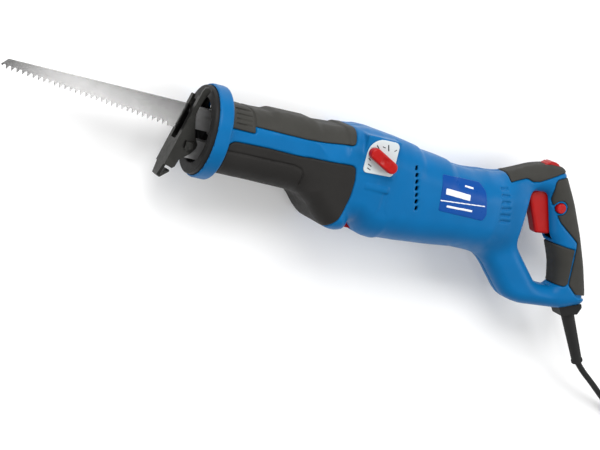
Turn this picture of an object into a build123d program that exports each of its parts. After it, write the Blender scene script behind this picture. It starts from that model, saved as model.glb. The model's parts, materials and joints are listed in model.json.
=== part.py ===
from build123d import *
import math
import os

# Corded reciprocating saw, lying on its right side.
# The model is drawn in the tool's own axes: X runs from the blade to the handle with its zero on the
# collar's front face, Y points to the saw's top, and Z to its left side, with Z = 0 on the split plane.
# Every piece is moved to the stored frame at the end: origin in the middle of the footprint, Z = 0
# where the saw rests on its side.

# ---------------------------------------------------------------- driving dimensions (mm)
FOOTPRINT_CENTRE = (126.5, -23.0)
HALF_WIDTH = 43.5

COLLAR_RADIUS = 43.5
COLLAR_LENGTH = 15.0
MOUTH_RADIUS = 31.0
LINER_RADIUS = 41.8
LINER_PROUD = 3.4

WALL = 5.0
PAD_DEPTH = 2.3

STROKE = 28.0
CRANK_RADIUS = STROKE / 2
MOTOR_Y = -14.0
GEAR_X = 142.0
GEAR_MODULE = 1.5
PINION_TEETH = 14
GEAR_TEETH = 42
PINION_PITCH_R = GEAR_MODULE * PINION_TEETH / 2
GEAR_PITCH_R = GEAR_MODULE * GEAR_TEETH / 2
TOOTH_RADIAL = 4.0

PLUNGER_Y = 10.0
PLUNGER_R = 8.0
BUSH_R = 10.0
RUNNING = 0.05

BLADE_TOP = 21.0
BLADE_TIP_X = -192.0
BLADE_THICKNESS = 1.3
TOOTH_PITCH = 5.08

SHOE_PIVOT = (-12.0, -15.0)
SHOE_TILT = 13.7
SHOE_HALF_WIDTH = 12.5
SHOE_GAUGE = 2.5

CASE_R = 38.5
CASE_INNER_R = 36.2

HANDLE_HALF = 17.5
TRIGGER_HALF = 7.5

CORD_D = 6.2
COIL_MEAN_R = 34.0
COIL_WIDTH = 19.0
COIL_HEIGHT = 18.8

# ---------------------------------------------------------------- helpers
NODES = {}


def node(name, *solids):
    """Keep a named node: one solid, or a group of separate ones."""
    NODES[name] = list(solids)


def box(x, y, z):
    """Box from its three (low, high) pairs."""
    size = [pair[1] - pair[0] for pair in (x, y, z)]
    middle = [(pair[1] + pair[0]) / 2 for pair in (x, y, z)]
    return Pos(*middle) * Box(*size)


def along_x(radius, x0, x1, y=MOTOR_Y, z=0.0):
    """Round bar along X."""
    return Pos((x0 + x1) / 2, y, z) * Rot(0, 90, 0) * Cylinder(radius, x1 - x0)


def along_z(radius, x, y, z0, z1):
    """Round bar along Z."""
    return Pos(x, y, (z0 + z1) / 2) * Cylinder(radius, z1 - z0)


def ring_x(outer, inner, x0, x1, y=MOTOR_Y):
    return along_x(outer, x0, x1, y) - along_x(inner, x0 - 1, x1 + 1, y)


def plate(points, z0, z1, radius=0.0):
    """Flat piece with the given XY outline, from z0 to z1; radius rounds its corners."""
    line = FilletPolyline(*points, radius=radius, close=True) if radius else Polyline(*points, close=True)
    return Pos(0, 0, z0) * extrude(make_face(line), z1 - z0)


def section(x, middle_y, half_height, half_width, corner, inset):
    """Rounded rectangle across the tool's axis at x, drawn inset from its outer size."""
    plane = Plane(origin=(x, middle_y, 0), x_dir=(0, 1, 0), z_dir=(1, 0, 0))
    return plane * RectangleRounded(2 * (half_height - inset), 2 * (half_width - inset), corner - inset)


def loft_x(sections, inset):
    return loft([section(*row, inset) for row in sections], ruled=True)


# ---------------------------------------------------------------- outer form
# rows: x, middle y, half height, half width, corner radius
NOSE = [(11, -1.0, 33.5, 34.5, 24), (78, -1.0, 33.0, 36.5, 24), (152, -0.5, 36.0, 41.0, 26)]
MOTOR = [
    (142, -11.5, 47.0, 43.5, 27),
    (206, -14.5, 44.5, 43.0, 29),
    (300, -13.0, 37.5, 37.5, 27),
    (338, -5.0, 31.0, 19.0, 14),
]
# rows: x, y, corner radius
HANDLE_OUTLINE = [
    (286, 20, 0), (304, 24.5, 40), (324, 35, 60), (345, 44, 60), (362, 48.5, 40), (379, 48, 8),
    (401, 17, 90), (418, -13, 120), (432, -42, 150), (442, -67, 60), (445.5, -80, 8), (418, -88.5, 30),
    (371, -92, 40), (351, -89.5, 30), (322, -65, 40), (306, -52, 40), (284, -46, 0),
]
HANDLE_OPENING = [
    (348, 18, 6), (350, -12, 40), (347.5, -33, 15), (382, -71, 14), (405.5, -72, 6), (399, -48, 60),
    (388, -27, 30), (381, -19, 20), (366, 20, 6),
]
HANDLE_ROUND = 8.0


def belly(inset):
    drum = along_z(44.5 - inset, GEAR_X, MOTOR_Y, -HALF_WIDTH + inset, HALF_WIDTH - inset)
    return chamfer(drum.edges().filter_by(GeomType.CIRCLE), 7 - inset)


def rounded_face(rows):
    """Face inside an outline given as rows of x, y and corner radius."""
    points = [(x, y) for x, y, radius in rows]
    radii = [radius for x, y, radius in rows]
    return make_face(FilletPolyline(*points, radius=radii, close=True))


def handle(inset):
    outline = rounded_face(HANDLE_OUTLINE)
    opening = rounded_face(HANDLE_OPENING)
    if inset:
        outline = offset(outline, -inset)
        opening = offset(opening, inset)
    half = HANDLE_HALF - inset
    bar = Pos(0, 0, -half) * extrude(outline - opening, 2 * half)
    rims = bar.edges().filter_by(lambda e: abs(abs(e.center().Z) - half) < 0.01 and e.center().X > 290)
    return fillet(rims, HANDLE_ROUND - inset)


def outer_form(inset):
    return loft_x(NOSE, inset) + belly(inset) + loft_x(MOTOR, inset) + handle(inset)


DIAL = (164.5, 15.5)
DIAL_SIZE = 34.0
DIAL_FACE_Z = 43.5
VENT_PITCH = 6.2
REAR_VENT_X = (303, 320)
FRONT_VENT_X = (203, 208)
RED_BUTTON_X = (161.5, 172.5)
NOTCH_X = (158.8, 174.0)
NOTCH_Y = -55.4

NOSE_PAD_REGION = [(15.5, 12), (80, 12.5), (147, 13), (150, 20), (150, 60), (15.5, 60)]
BOOT_REGION = [(15.5, 1), (137, 2), (141, -20), (146, -42), (158, -52), (158, -80), (15.5, -80)]
TOP_PAD_REGION = [(318, 24), (338, 33), (352, 35), (376, 45), (395, 50), (395, 70), (300, 70)]
BACK_PAD_REGION = [
    (366, 38), (371, 14), (385, -4), (413, -22), (416, -64), (430, -75), (460, -75), (460, 10), (386, 46),
]
GRIP_PAD_REGION = [(370, -24), (382, -26), (409.5, -28), (414, -63), (412, -65.5), (385, -65.5)]

form = outer_form(0)
form_below_pads = outer_form(PAD_DEPTH)
cavity = outer_form(WALL)


def soft_pad(region, extra_cut=None):
    """Rubber inlay: the outer layer of the form over a region of the side view."""
    layer = form - form_below_pads
    pad = layer & plate(region, -60, 60)
    return pad - extra_cut if extra_cut else pad


WHEEL = (366.5, 41.0)
WHEEL_R = 10.5
wheel_pocket = along_z(WHEEL_R + 0.8, *WHEEL, -7.6, 7.6)
LOCK_BUTTON = (382.0, 9.0)
lock_bore = along_z(5.4, *LOCK_BUTTON, 8, 30)
TRIGGER_PIVOT = (371.0, 21.0)
TRIGGER_POCKET = [
    (340, 12), (350, 22), (362, 26.5), (376, 29), (381, 18), (382, 6), (395, -12), (393, -20), (386, -24),
    (360, -24),
]
STATOR_R = 33.0
BEARING_R = 11.0

nose_pad = soft_pad(NOSE_PAD_REGION)
boot = soft_pad(BOOT_REGION)
top_pad = soft_pad(TOP_PAD_REGION, wheel_pocket)
back_pad = soft_pad(BACK_PAD_REGION, lock_bore)
grip_pad = soft_pad(GRIP_PAD_REGION)


def vents(x_range, y_middle, count, height):
    """Row of air slots through both side walls, one above the other."""
    first = y_middle - VENT_PITCH * (count - 1) / 2
    rows = [first + VENT_PITCH * i for i in range(count)]
    return [box(x_range, (y - height / 2, y + height / 2), (-60, 60)) for y in rows]


# ---------------------------------------------------------------- strain relief line
RELIEF_TOP = Vector(433.4, -92.0, 0.0)
RELIEF_END = Vector(468.7, -142.2, -9.0)
RELIEF_DIR = (RELIEF_END - RELIEF_TOP).normalized()
RELIEF_ENTRY = RELIEF_TOP - RELIEF_DIR * 16

# rows: x, y, height of the head's seat
HOUSING_SCREWS = [
    (205, 24, -26), (205, -53, -26), (296, 17, -25), (286, -46, -25), (352, 38.5, -10.5), (344, -65, -12),
    (412, -80, -12),
]


def bar_between(a, b, radius, end_radius=None):
    """Round or tapered bar from a to b."""
    line = b - a
    plane = Plane(origin=a, z_dir=line)
    if end_radius is None:
        return extrude(plane * Circle(radius), line.length)
    return loft([plane * Circle(radius), plane.offset(line.length) * Circle(end_radius)])


def housing():
    """The casing before it is split: collar, nose band, motor body and D handle."""
    shell = form + along_x(COLLAR_RADIUS, 0, COLLAR_LENGTH, 0)
    boss = box((DIAL[0] - 19, DIAL[0] + 19), (DIAL[1] - 19, DIAL[1] + 17), (20, DIAL_FACE_Z))
    shell += fillet(boss.edges().filter_by(Axis.Z), 8)
    shell -= cavity
    shell -= along_x(MOUTH_RADIUS, -5, COLLAR_LENGTH, 0) & box((-5, 15), (-28.5, 27.5), (-31, 31))
    shell -= along_x(LINER_RADIUS, -5, 3, 0)
    shell -= box((8, 20), (-28.4, 27.4), (-29, 29))
    for pad in (nose_pad, boot, top_pad, back_pad, grip_pad):
        shell -= pad
    for slot in vents(REAR_VENT_X, 0, 6, 2.4) + vents(FRONT_VENT_X, -3, 6, 3.6):
        shell -= slot
    for x0, x1, hole in ((248, 253, STATOR_R + 0.1), (307, 312, BEARING_R)):
        shell += (cavity & box((x0, x1), (-60, 60), (-50, 50))) - along_x(hole, x0 - 1, x1 + 1)
    shell -= wheel_pocket
    shell -= lock_bore
    shell -= plate(TRIGGER_POCKET, -TRIGGER_HALF - 0.8, TRIGGER_HALF + 0.8)
    shell -= along_z(1.5, *TRIGGER_PIVOT, -11, 11)
    shell -= along_z(4.05, *DIAL, 20, 60)
    shell -= box(NOTCH_X, (-80, NOTCH_Y), (-60, 60))
    shell -= box((RED_BUTTON_X[0] - 0.4, RED_BUTTON_X[1] + 0.4), (-70, -50), (-9.4, 9.4))
    shell -= bar_between(RELIEF_ENTRY - RELIEF_DIR, RELIEF_TOP + RELIEF_DIR * 12, 6.3)
    shell -= bar_between(RELIEF_ENTRY - RELIEF_DIR * 0.2, RELIEF_ENTRY + RELIEF_DIR * 3.2, 9.2)
    for x, y, seat in HOUSING_SCREWS:
        shell -= along_z(1.7, x, y, seat - 1, 9.2)
        shell -= along_z(3.6, x, y, -60, seat)
    return shell


whole_housing = housing()
left_space = box((-50, 500), (-200, 200), (0, 100))
right_space = box((-50, 500), (-200, 200), (-100, 0))
node("housing_left", whole_housing & left_space)
node("housing_right", whole_housing & right_space)
node("nose_top_pad", nose_pad)
node("nose_boot", boot)
node("handle_top_pad", top_pad)
node("handle_back_pad", back_pad)
node("grip_pad", grip_pad)


def housing_screw(x, y, seat):
    """Thread-forming screw sunk from the right side into the left half."""
    return along_z(3.4, x, y, seat - 2.4, seat) + along_z(1.65, x, y, seat, 9)


node("housing_screws", *[housing_screw(*row) for row in HOUSING_SCREWS])
node("collar_liner", ring_x(LINER_RADIUS - 0.1, MOUTH_RADIUS, -LINER_PROUD, 2.95, 0))

# ---------------------------------------------------------------- outside fittings
LABEL_REGION = [(231, 14), (272, 12), (290, 6), (293, -12), (284, -19), (233, -21)]
label = (loft_x(MOTOR, -0.6) - form) & plate(LABEL_REGION, 10, 60, 3)
node("label_plate", label)

plate_blank = box(
    (DIAL[0] - DIAL_SIZE / 2, DIAL[0] + DIAL_SIZE / 2),
    (DIAL[1] - DIAL_SIZE / 2, DIAL[1] + DIAL_SIZE / 2),
    (DIAL_FACE_Z, DIAL_FACE_Z + 1.5),
)
node("dial_plate", fillet(plate_blank.edges().filter_by(Axis.Z), 8) - along_z(4.4, *DIAL, 40, 50))

KNOB_TURN = -28.0
KNOB_LENGTH = 32.0
KNOB_WIDTH = 11.5
knob_face = Pos(*DIAL, DIAL_FACE_Z + 1.9) * Rot(0, 0, KNOB_TURN) * SlotOverall(KNOB_LENGTH, KNOB_WIDTH)
orbital_dial = extrude(knob_face, 8.5) + along_z(4.0, *DIAL, 21, DIAL_FACE_Z + 2)
orbital_dial += Pos(1.2, 0, 0) * along_z(5.5, *DIAL, 21, 27)
node("orbital_dial", orbital_dial)

lock_tab = box((160, 174), (-52.8, -51), (-11, 11))
node("shoe_lock_button", box(RED_BUTTON_X, (-57.2, -51.5), (-9, 9)) + lock_tab)

# ---------------------------------------------------------------- blade, clamp and plunger
BLADE_BACK = [(BLADE_TIP_X, 14.5), (-186, BLADE_TOP), (-16, BLADE_TOP), (-13, 16.2), (14, 16.2), (14, 3.8)]
BLADE_HEEL = [(-13, 3.8), (-17, -2.2), (-24, -2.6)]
TOOTH_LINE = ((-190.0, 12.2), (-30.0, -3.4))
TOOTH_DEPTH = 4.2


def blade_outline():
    """Tapered blade with forward-raked teeth, ending in a half-inch tang."""
    (x0, y0), (x1, y1) = TOOTH_LINE
    slope = (y1 - y0) / (x1 - x0)
    teeth = []
    for i in range(int((x1 - x0) / TOOTH_PITCH), 0, -1):
        tip_x = x0 + i * TOOTH_PITCH
        tip_y = y0 + slope * (tip_x - x0)
        teeth += [(tip_x, tip_y), (tip_x - 0.8, tip_y + TOOTH_DEPTH)]
    return BLADE_BACK + BLADE_HEEL + teeth


half_blade = BLADE_THICKNESS / 2
blade = plate(blade_outline(), -half_blade, half_blade) - along_z(3.0, 3, PLUNGER_Y, -5, 5)
node("blade", blade)
node("blade_pin", along_z(2.95, 3, PLUNGER_Y, -6, 6))

SOCKET = ((-9, 8), (PLUNGER_Y - 10, PLUNGER_Y + 10), (-6, 6))
YOKE_X = GEAR_X - CRANK_RADIUS
YOKE_HALF = 4.0
PLUNGER_END = 186.0
ROLLER_R = 6.0
YOKE_WALL = 4.5


def plunger():
    """Front socket for the blade, round bar, and the yoke that the crank roller drives."""
    slot_x = ROLLER_R + RUNNING
    half_x = slot_x + YOKE_WALL
    low = MOTOR_Y - CRANK_RADIUS - ROLLER_R
    body = box(*SOCKET) + along_x(PLUNGER_R, 8, PLUNGER_END, PLUNGER_Y)
    body += box((YOKE_X - half_x, YOKE_X + half_x), (low - 3.5, PLUNGER_Y), (-YOKE_HALF, YOKE_HALF))
    body -= box((YOKE_X - slot_x, YOKE_X + slot_x), (low, MOTOR_Y + CRANK_RADIUS + 1.8), (-5, 5))
    body -= box((-10, 14.05), (3.75, 16.25), (-half_blade - 0.03, half_blade + 0.03))
    body -= along_z(2.95, 3, PLUNGER_Y, -10, 10)
    # flat that the roller passes under
    body -= box((YOKE_X - 36, YOKE_X + 38), (0, 7), (-9, -YOKE_HALF - 0.2))
    return body - box((-10, -5), (-5, 25), (-1.2, 1.2))


node("plunger", plunger())

SLEEVE_X = (8.6, 22.5)
RETAINING_RING_X = (22.8, 24.2)


def clamp_sleeve():
    """Knurled twist sleeve of the tool-free blade clamp, hollow inside for its spring."""
    sleeve = ring_x(13.0, PLUNGER_R + RUNNING, *SLEEVE_X, PLUNGER_Y)
    sleeve -= ring_x(10.6, PLUNGER_R - 1, 11.6, 20, PLUNGER_Y)
    for i in range(12):
        angle = math.radians(30 * i)
        sleeve -= along_x(1.6, 10.6, 20.5, PLUNGER_Y + 13.6 * math.cos(angle), 13.6 * math.sin(angle))
    return sleeve


node("clamp_sleeve", clamp_sleeve())
node("clamp_retaining_ring", ring_x(10.5, PLUNGER_R, *RETAINING_RING_X, PLUNGER_Y))


def clamp_spring():
    """Torsion spring between the clamp sleeve and the plunger."""
    coil = Pos(12.9, PLUNGER_Y, 0) * Rot(0, 90, 0) * Helix(pitch=1.8, height=5.7, radius=9.3)
    start = Plane(origin=coil @ 0, z_dir=coil % 0)
    return sweep(start * Circle(0.6), path=coil, is_frenet=True)


node("clamp_spring", clamp_spring())

# ---------------------------------------------------------------- shoe and its carrier
SHOE_FACE_X = -11.5
# front face seen from the blade: height, half width
FACE_OUTLINE = [(44, 12.5), (-20, 12.5), (-26, 9.5), (-37, 6.5)]
FLANGE_REAR = [
    (-7.6, 28), (2.2, 10), (8, 4), (8.2, 0), (6, -6), (-1, -15.5), (-1.6, -23), (-3.5, -25.5), (-6, -25.2),
    (SHOE_FACE_X, -25.2),
]
LEFT_ARM = [(SHOE_FACE_X, 49), (-10.5, 53), (-8, 54.3), (-5.5, 53.5), (-4.6, 51), (-6.2, 44)]
RIGHT_ARM = [(SHOE_FACE_X, 38), (-10, 40), (-8, 40.7), (-5.5, 40.2), (-4.2, 38), (-4.6, 33)]


def shoe():
    """Pressed-steel work rest: slotted face plate and two pivot flanges, drawn upright."""
    far_side = [(y, -z) for y, z in reversed(FACE_OUTLINE)]
    face_plane = Plane(origin=(SHOE_FACE_X, 0, 0), x_dir=(0, 1, 0), z_dir=(1, 0, 0))
    outline = FilletPolyline(*FACE_OUTLINE, *far_side, radius=1.5, close=True)
    bracket = extrude(face_plane * make_face(outline), SHOE_GAUGE)
    bracket -= box((-20, 0), (0, 60), (-6.5, 6.5))
    bracket += box((SHOE_FACE_X, SHOE_FACE_X + 5), (-37, -34.5), (-4.8, 4.8))
    inner = SHOE_HALF_WIDTH - SHOE_GAUGE
    bracket += plate(LEFT_ARM + FLANGE_REAR, inner, SHOE_HALF_WIDTH)
    bracket += plate(RIGHT_ARM + FLANGE_REAR, -SHOE_HALF_WIDTH, -inner)
    return bracket - along_z(3.05, 0, 0, -20, 20)


node("shoe", Pos(*SHOE_PIVOT, 0) * Rot(0, 0, -SHOE_TILT) * shoe())

CARRIER_X = (-19.0, 84.0)
CARRIER_Y = (-27.0, -9.5)
CARRIER_GAUGE = 2.5
CARRIER_HALF = SHOE_HALF_WIDTH - SHOE_GAUGE - 0.2


def shoe_carrier():
    """Steel channel that slides in the nose and carries the shoe on its front end."""
    channel = box(CARRIER_X, CARRIER_Y, (-CARRIER_HALF, CARRIER_HALF))
    channel = fillet(channel.edges().filter_by(Axis.Z).group_by(Axis.X)[0], 6)
    inner = CARRIER_HALF - CARRIER_GAUGE
    channel -= box((-30, 90), (CARRIER_Y[0] + CARRIER_GAUGE, 0), (-inner, inner))
    for i in range(5):
        channel -= box((20 + 8 * i, 23 + 8 * i), (-30, -20), (-4, 4))
    return channel - along_z(3.05, *SHOE_PIVOT, -20, 20)


node("shoe_carrier", shoe_carrier())
bolt_reach = SHOE_HALF_WIDTH + 0.3
pivot_bolt = along_z(3.0, *SHOE_PIVOT, -bolt_reach, bolt_reach)
pivot_bolt += along_z(4.6, *SHOE_PIVOT, -bolt_reach - 2.3, -bolt_reach + 0.1)
pivot_bolt += box((-15.5, -8.5), (-18.5, -11.5), (bolt_reach - 0.1, bolt_reach + 3.3))
node("shoe_pivot_bolt", pivot_bolt)

# ---------------------------------------------------------------- gear case
TUBE_X = (54.0, 112.0)
REAR_X = (168.0, 199.0)
COVER_Z = 16.0
FLOOR_Z = -38.0
FRONT_BUSH = (60.0, 75.0)
REAR_BUSH = (176.0, 184.0)
FRONT_BEARING = (186.0, 193.0)
REAR_BEARING = (306.0, 313.0)
SHAFT_R = 4.0
PINION_X = (GEAR_X + GEAR_PITCH_R - TOOTH_RADIAL, GEAR_X + GEAR_PITCH_R + TOOTH_RADIAL)
CRANK_BEARINGS = [(-36.0, -29.0), (-27.5, -20.5)]
COVER_SCREWS = [(104, -2), (190, 17), (190, -24)]


def gear_case():
    """Cast case: gear drum, plunger tube, carrier rail and the bearing wall in front of the motor."""
    case = along_z(CASE_R, GEAR_X, MOTOR_Y, FLOOR_Z, COVER_Z)
    case = fillet(case.edges().filter_by(GeomType.CIRCLE).group_by(Axis.Z)[0], 2)
    case += box(TUBE_X, (-3, 23), (-13, COVER_Z))
    rail_half = CARRIER_HALF - CARRIER_GAUGE - 0.3
    rail_foot = CARRIER_Y[0] + CARRIER_GAUGE + 0.3
    case += box((40, 104), (rail_foot, -4.2), (-rail_half, rail_half))
    case += box((TUBE_X[0], 104), (rail_foot, -2), (-rail_half, rail_half))
    case += box(REAR_X, (-28, 22), (-16, COVER_Z))
    case -= along_z(CASE_INNER_R, GEAR_X, MOTOR_Y, FLOOR_Z + 2, COVER_Z + 1)
    case += along_z(13.5, GEAR_X, MOTOR_Y, FLOOR_Z + 1, CRANK_BEARINGS[1][1])
    case -= along_z(BEARING_R, GEAR_X, MOTOR_Y, CRANK_BEARINGS[0][0], CRANK_BEARINGS[1][1] + 1)
    case -= along_x(BUSH_R, TUBE_X[0] - 1, 250, PLUNGER_Y)
    case -= box((PINION_X[0] - 2, 181), (-27, -1.5), (-15, COVER_Z + 1))
    case -= along_x(BEARING_R, 170, FRONT_BEARING[1])
    case -= along_x(9, 180, 210)
    for x, y in COVER_SCREWS:
        case -= along_z(1.6, x, y, COVER_Z - 8, COVER_Z + 1)
    return case


node("gear_case", gear_case())

case_cover = along_z(CASE_R, GEAR_X, MOTOR_Y, COVER_Z, COVER_Z + 3)
for x_range, y_range in ((REAR_X, (-28, 22)), ((98, 112), (-8, 23))):
    case_cover += box(x_range, y_range, (COVER_Z, COVER_Z + 3))
for x, y in COVER_SCREWS:
    case_cover -= along_z(1.8, x, y, COVER_Z - 1, COVER_Z + 5)
node("gear_case_cover", case_cover)


def cover_screw(x, y):
    head = along_z(3.2, x, y, COVER_Z + 3, COVER_Z + 5.2)
    return head + along_z(1.55, x, y, COVER_Z - 7, COVER_Z + 3)


node("cover_screws", *[cover_screw(x, y) for x, y in COVER_SCREWS])
node("plunger_seal", ring_x(BUSH_R, PLUNGER_R + RUNNING, 55.2, 59, PLUNGER_Y))
node("plunger_front_bush", ring_x(BUSH_R, PLUNGER_R + RUNNING, *FRONT_BUSH, PLUNGER_Y))
node("plunger_rear_bush", ring_x(BUSH_R, PLUNGER_R + RUNNING, *REAR_BUSH, PLUNGER_Y))

# ---------------------------------------------------------------- crank gear and pinion
TOOTH_TOP = -PINION_PITCH_R + 1.3
TOOTH_ROOT = -PINION_PITCH_R - 1.7
GEAR_RIM_R = GEAR_PITCH_R + TOOTH_RADIAL
GEAR_HUB_Z = CRANK_BEARINGS[1][1]


def face_tooth():
    """One tooth of the face gear, tapering to the gear's centre as its spaces do."""
    sections = []
    for radius in (GEAR_PITCH_R - TOOTH_RADIAL, GEAR_RIM_R):
        pitch = 2 * math.pi * radius / GEAR_TEETH
        root = pitch * 0.29
        tip = pitch * 0.13
        plane = Plane(origin=(radius, 0, 0), x_dir=(0, 1, 0), z_dir=(1, 0, 0))
        corners = [(-root, TOOTH_ROOT - 0.2), (root, TOOTH_ROOT - 0.2), (tip, TOOTH_TOP), (-tip, TOOTH_TOP)]
        sections.append(plane * make_face(Polyline(*corners, close=True)))
    return loft(sections, ruled=True)


def crank_gear():
    """Face gear on its shaft, with face teeth that mesh with the pinion at its rear."""
    disc = Cylinder(GEAR_RIM_R, 3.5)
    gear = Pos(0, 0, TOOTH_ROOT - 1.75) * disc
    tooth = face_tooth()
    for i in range(GEAR_TEETH):
        gear += Rot(0, 0, 360 / GEAR_TEETH * (i + 0.5)) * tooth
    gear += Pos(0, 0, (GEAR_HUB_Z + TOOTH_ROOT) / 2) * Cylinder(9.5, TOOTH_ROOT - GEAR_HUB_Z - 1)
    gear += along_z(SHAFT_R, 0, 0, CRANK_BEARINGS[0][0] + 0.2, GEAR_HUB_Z + 2)
    gear -= Pos(-CRANK_RADIUS, 0, 0) * Cylinder(3.0, 60)
    return Pos(GEAR_X, MOTOR_Y, 0) * gear


node("crank_gear", crank_gear())
node("crank_pin", along_z(3.0, YOKE_X, MOTOR_Y, TOOTH_ROOT - 3, -4.5))
roller = along_z(ROLLER_R, YOKE_X, MOTOR_Y, -9.6, -4.5) - along_z(3.0, YOKE_X, MOTOR_Y, -12, 0)
node("crank_roller", roller)
weight = along_z(24, GEAR_X, MOTOR_Y, TOOTH_ROOT, -8.6) & box((GEAR_X + 5, 200), (-60, 40), (-20, 0))
node("counterweight", weight)
shaft_bore = along_z(SHAFT_R + RUNNING, GEAR_X, MOTOR_Y, -60, 0)
crank_bearings = [along_z(BEARING_R, GEAR_X, MOTOR_Y, *span) - shaft_bore for span in CRANK_BEARINGS]
node("crank_bearings", *crank_bearings)


def pinion():
    """Straight-toothed motor pinion."""
    root_r = PINION_PITCH_R - 1.7
    tip_r = PINION_PITCH_R + 1.3
    pitch = 2 * math.pi / PINION_TEETH
    points = []
    for i in range(PINION_TEETH):
        middle = i * pitch
        for share, radius in ((-0.27, root_r), (-0.1, tip_r), (0.1, tip_r), (0.27, root_r)):
            angle = middle + share * pitch
            points.append((radius * math.cos(angle), radius * math.sin(angle)))
    plane = Plane(origin=(PINION_X[0], MOTOR_Y, 0), x_dir=(0, 0, -1), z_dir=(1, 0, 0))
    blank = extrude(plane * make_face(Polyline(*points, close=True)), PINION_X[1] - PINION_X[0])
    return blank - along_x(SHAFT_R, 150, 200)


node("motor_pinion", pinion())

# ---------------------------------------------------------------- motor
CORE_X = (234.0, 274.0)
CORE_R = 20.0
STATOR_X = (232.0, 276.0)
BORE_R = 20.8
COMMUTATOR_X = (288.0, 301.0)
COMMUTATOR_R = 11.0
FAN_X = (217.0, 224.0)

node("motor_shaft", along_x(SHAFT_R, PINION_X[0] - 2, 315))


def armature_core():
    core = ring_x(CORE_R, SHAFT_R, *CORE_X)
    for i in range(12):
        angle = math.radians(30 * i)
        y = MOTOR_Y + 17.4 * math.cos(angle)
        core -= along_x(1.7, 230, 280, y, 17.4 * math.sin(angle))
    return core


node("armature_core", armature_core())
node("armature_windings", ring_x(17.0, SHAFT_R, 225.5, 234), ring_x(17.0, SHAFT_R, 274, 283))
commutator = ring_x(COMMUTATOR_R, SHAFT_R, *COMMUTATOR_X) + ring_x(12.6, SHAFT_R, 286, 288.5)
for i in range(24):
    angle = math.radians(15 * i)
    y = MOTOR_Y + COMMUTATOR_R * math.cos(angle)
    z = COMMUTATOR_R * math.sin(angle)
    commutator -= Pos(297, y, z) * Rot(math.degrees(angle), 0, 0) * Box(14, 1.4, 0.5)
node("commutator", commutator)


def fan():
    """Cooling fan: back disc, hub and eleven blades."""
    wheel = ring_x(29.0, SHAFT_R, FAN_X[0], FAN_X[0] + 1.5) + ring_x(8.0, SHAFT_R, *FAN_X)
    for i in range(11):
        vane = Rot(360 / 11 * i, 0, 0) * Pos(0, 18, 0) * Box(7, 21, 1.6)
        wheel += Pos((FAN_X[0] + FAN_X[1]) / 2, MOTOR_Y, 0) * vane
    return wheel


node("cooling_fan", fan())
motor_bearings = []
for span in (FRONT_BEARING, REAR_BEARING):
    motor_bearings.append(ring_x(BEARING_R, SHAFT_R + RUNNING, *span))
node("motor_bearings", *motor_bearings)

POLE_BOX = box((200, 300), (MOTOR_Y - 40, MOTOR_Y + 40), (-15.5, 15.5))
yoke_ring = ring_x(STATOR_R, 27.0, *STATOR_X)
poles = ring_x(27.5, BORE_R, *STATOR_X) & POLE_BOX
node("motor_stator", yoke_ring + poles)


def field_coil(side):
    """Saddle coil round one stator pole: two long sides and two end turns."""
    y_range = (MOTOR_Y, MOTOR_Y + 40) if side > 0 else (MOTOR_Y - 40, MOTOR_Y)
    coil = ring_x(26.7, 21.2, 226, 282) & box((200, 300), y_range, (-40, 40))
    coil -= box((STATOR_X[0] - 0.2, STATOR_X[1] + 0.2), y_range, (-15.7, 15.7))
    return coil - box((200, 300), (MOTOR_Y - 3, MOTOR_Y + 3), (-60, 60))


node("field_coils", field_coil(1), field_coil(-1))

BRUSH = (292.0, 298.5)
brushes = []
holders = []
for side in (-1, 1):
    reach = sorted((MOTOR_Y + side * (COMMUTATOR_R + 0.2), MOTOR_Y + side * 24))
    sheath = sorted((MOTOR_Y + side * 13.5, MOTOR_Y + side * 28))
    brushes.append(box(BRUSH, reach, (-4, 4)))
    channel = box(BRUSH, sorted((MOTOR_Y, MOTOR_Y + side * 24)), (-4, 4))
    holders.append(box((BRUSH[0] - 2, BRUSH[1] + 2), sheath, (-6, 6)) - channel)
node("carbon_brushes", *brushes)
node("brush_holders", *holders)
node("suppression_capacitor", box((318, 333), (-30, -14), (-9, 9)))

# ---------------------------------------------------------------- handle controls
TRIGGER_OUTLINE = [
    (349, 13), (352, 19), (364, 24), (373, 25), (376, 18), (377, 6), (386, -14), (383, -19.5), (368, -21.5),
]
trigger = plate(TRIGGER_OUTLINE, -TRIGGER_HALF, TRIGGER_HALF, 1.6)
node("trigger", trigger - along_z(1.55, *TRIGGER_PIVOT, -20, 20))
node("trigger_pin", along_z(1.5, *TRIGGER_PIVOT, -11, 11))
SWITCH_OUTLINE = [(391, 15), (397, 9), (409, -11), (420, -36), (411, -40), (402, -36), (393, -14)]
node("switch_module", plate(SWITCH_OUTLINE, -10, 10))
node("lock_on_button", along_z(5.0, *LOCK_BUTTON, 12, 19) + along_z(2.5, *LOCK_BUTTON, 9.5, 12))

speed_wheel = along_z(WHEEL_R - 0.3, *WHEEL, -7, 7) + along_z(1.5, *WHEEL, -10.5, 10.5)
for i in range(20):
    angle = math.radians(18 * i)
    x = WHEEL[0] + (WHEEL_R + 0.2) * math.cos(angle)
    y = WHEEL[1] + (WHEEL_R + 0.2) * math.sin(angle)
    speed_wheel -= along_z(0.9, x, y, -8, 8)
node("speed_wheel", speed_wheel)

# ---------------------------------------------------------------- cord, relief and plug
relief_path_bore = bar_between(RELIEF_ENTRY - RELIEF_DIR * 2, RELIEF_TOP + RELIEF_DIR * 20, 7.4)
CAP_OUTLINE = [(417.5, -88.7), (442, -81), (443.5, -84.5), (440.5, -92), (423.5, -97)]
end_cap = plate(CAP_OUTLINE, -9.6, 9.6) - form - relief_path_bore
node("handle_end_cap", end_cap)

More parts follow.
